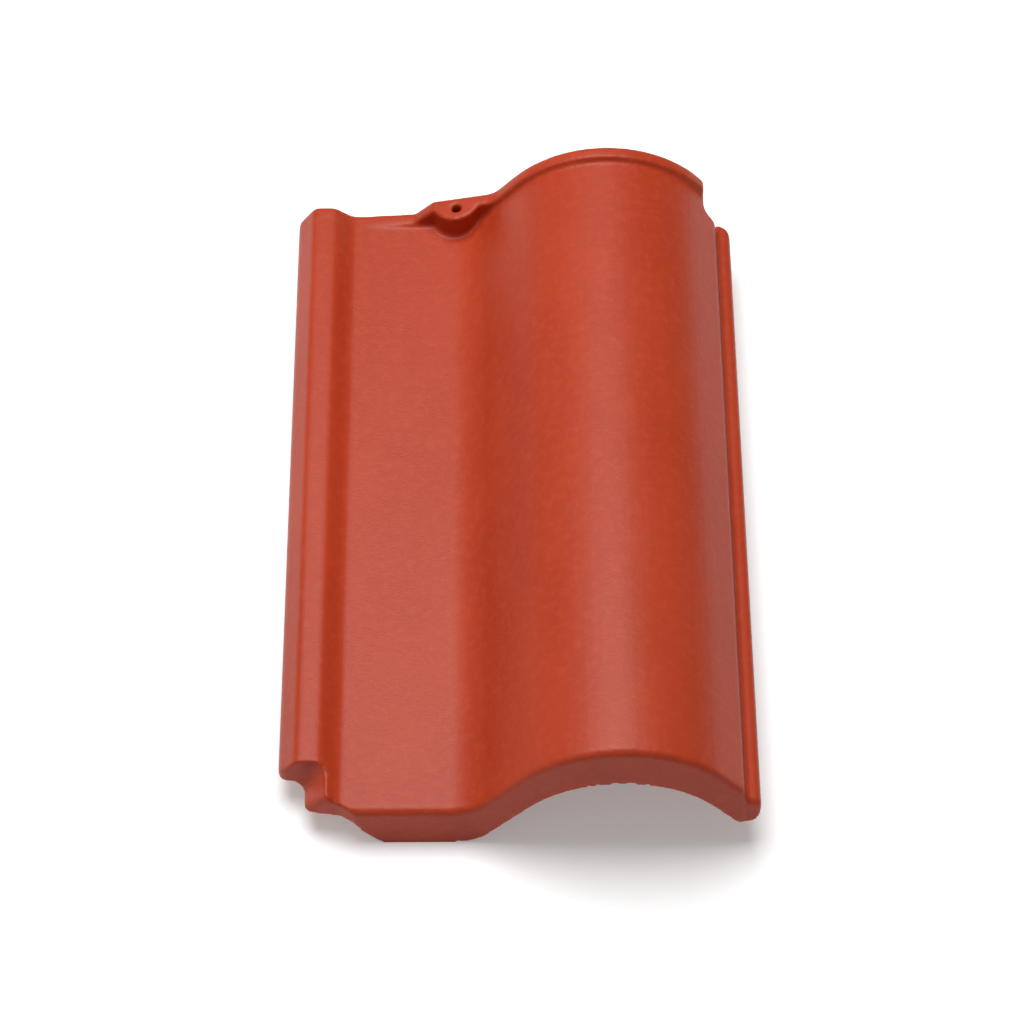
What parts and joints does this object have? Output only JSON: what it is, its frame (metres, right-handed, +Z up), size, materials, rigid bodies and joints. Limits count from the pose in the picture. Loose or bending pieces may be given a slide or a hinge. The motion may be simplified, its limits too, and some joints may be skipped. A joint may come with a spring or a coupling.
{
  "type": "single-roll interlocking roof tile",
  "caption": "Interlocking pan-and-roll roof tile with a side rib, a thick downturned nose, a raised head bead and a nail boss.",
  "frame": {"origin": "on the floor under the tile, midway along its width and midway between the nose's lower edge and the head edge", "axes": "+Z up, +Y along the tile from the foot (nose) to the head (nibs and nail hole), +X across from the side rib to the roll"},
  "size_m": [0.2574, 0.4236, 0.0865],
  "materials": {
    "fired_clay": "satin red engobe over fired clay"
  },
  "bodies": {
    "root": {"roof_tile": "fired_clay"}
  },
  "joints": []
}
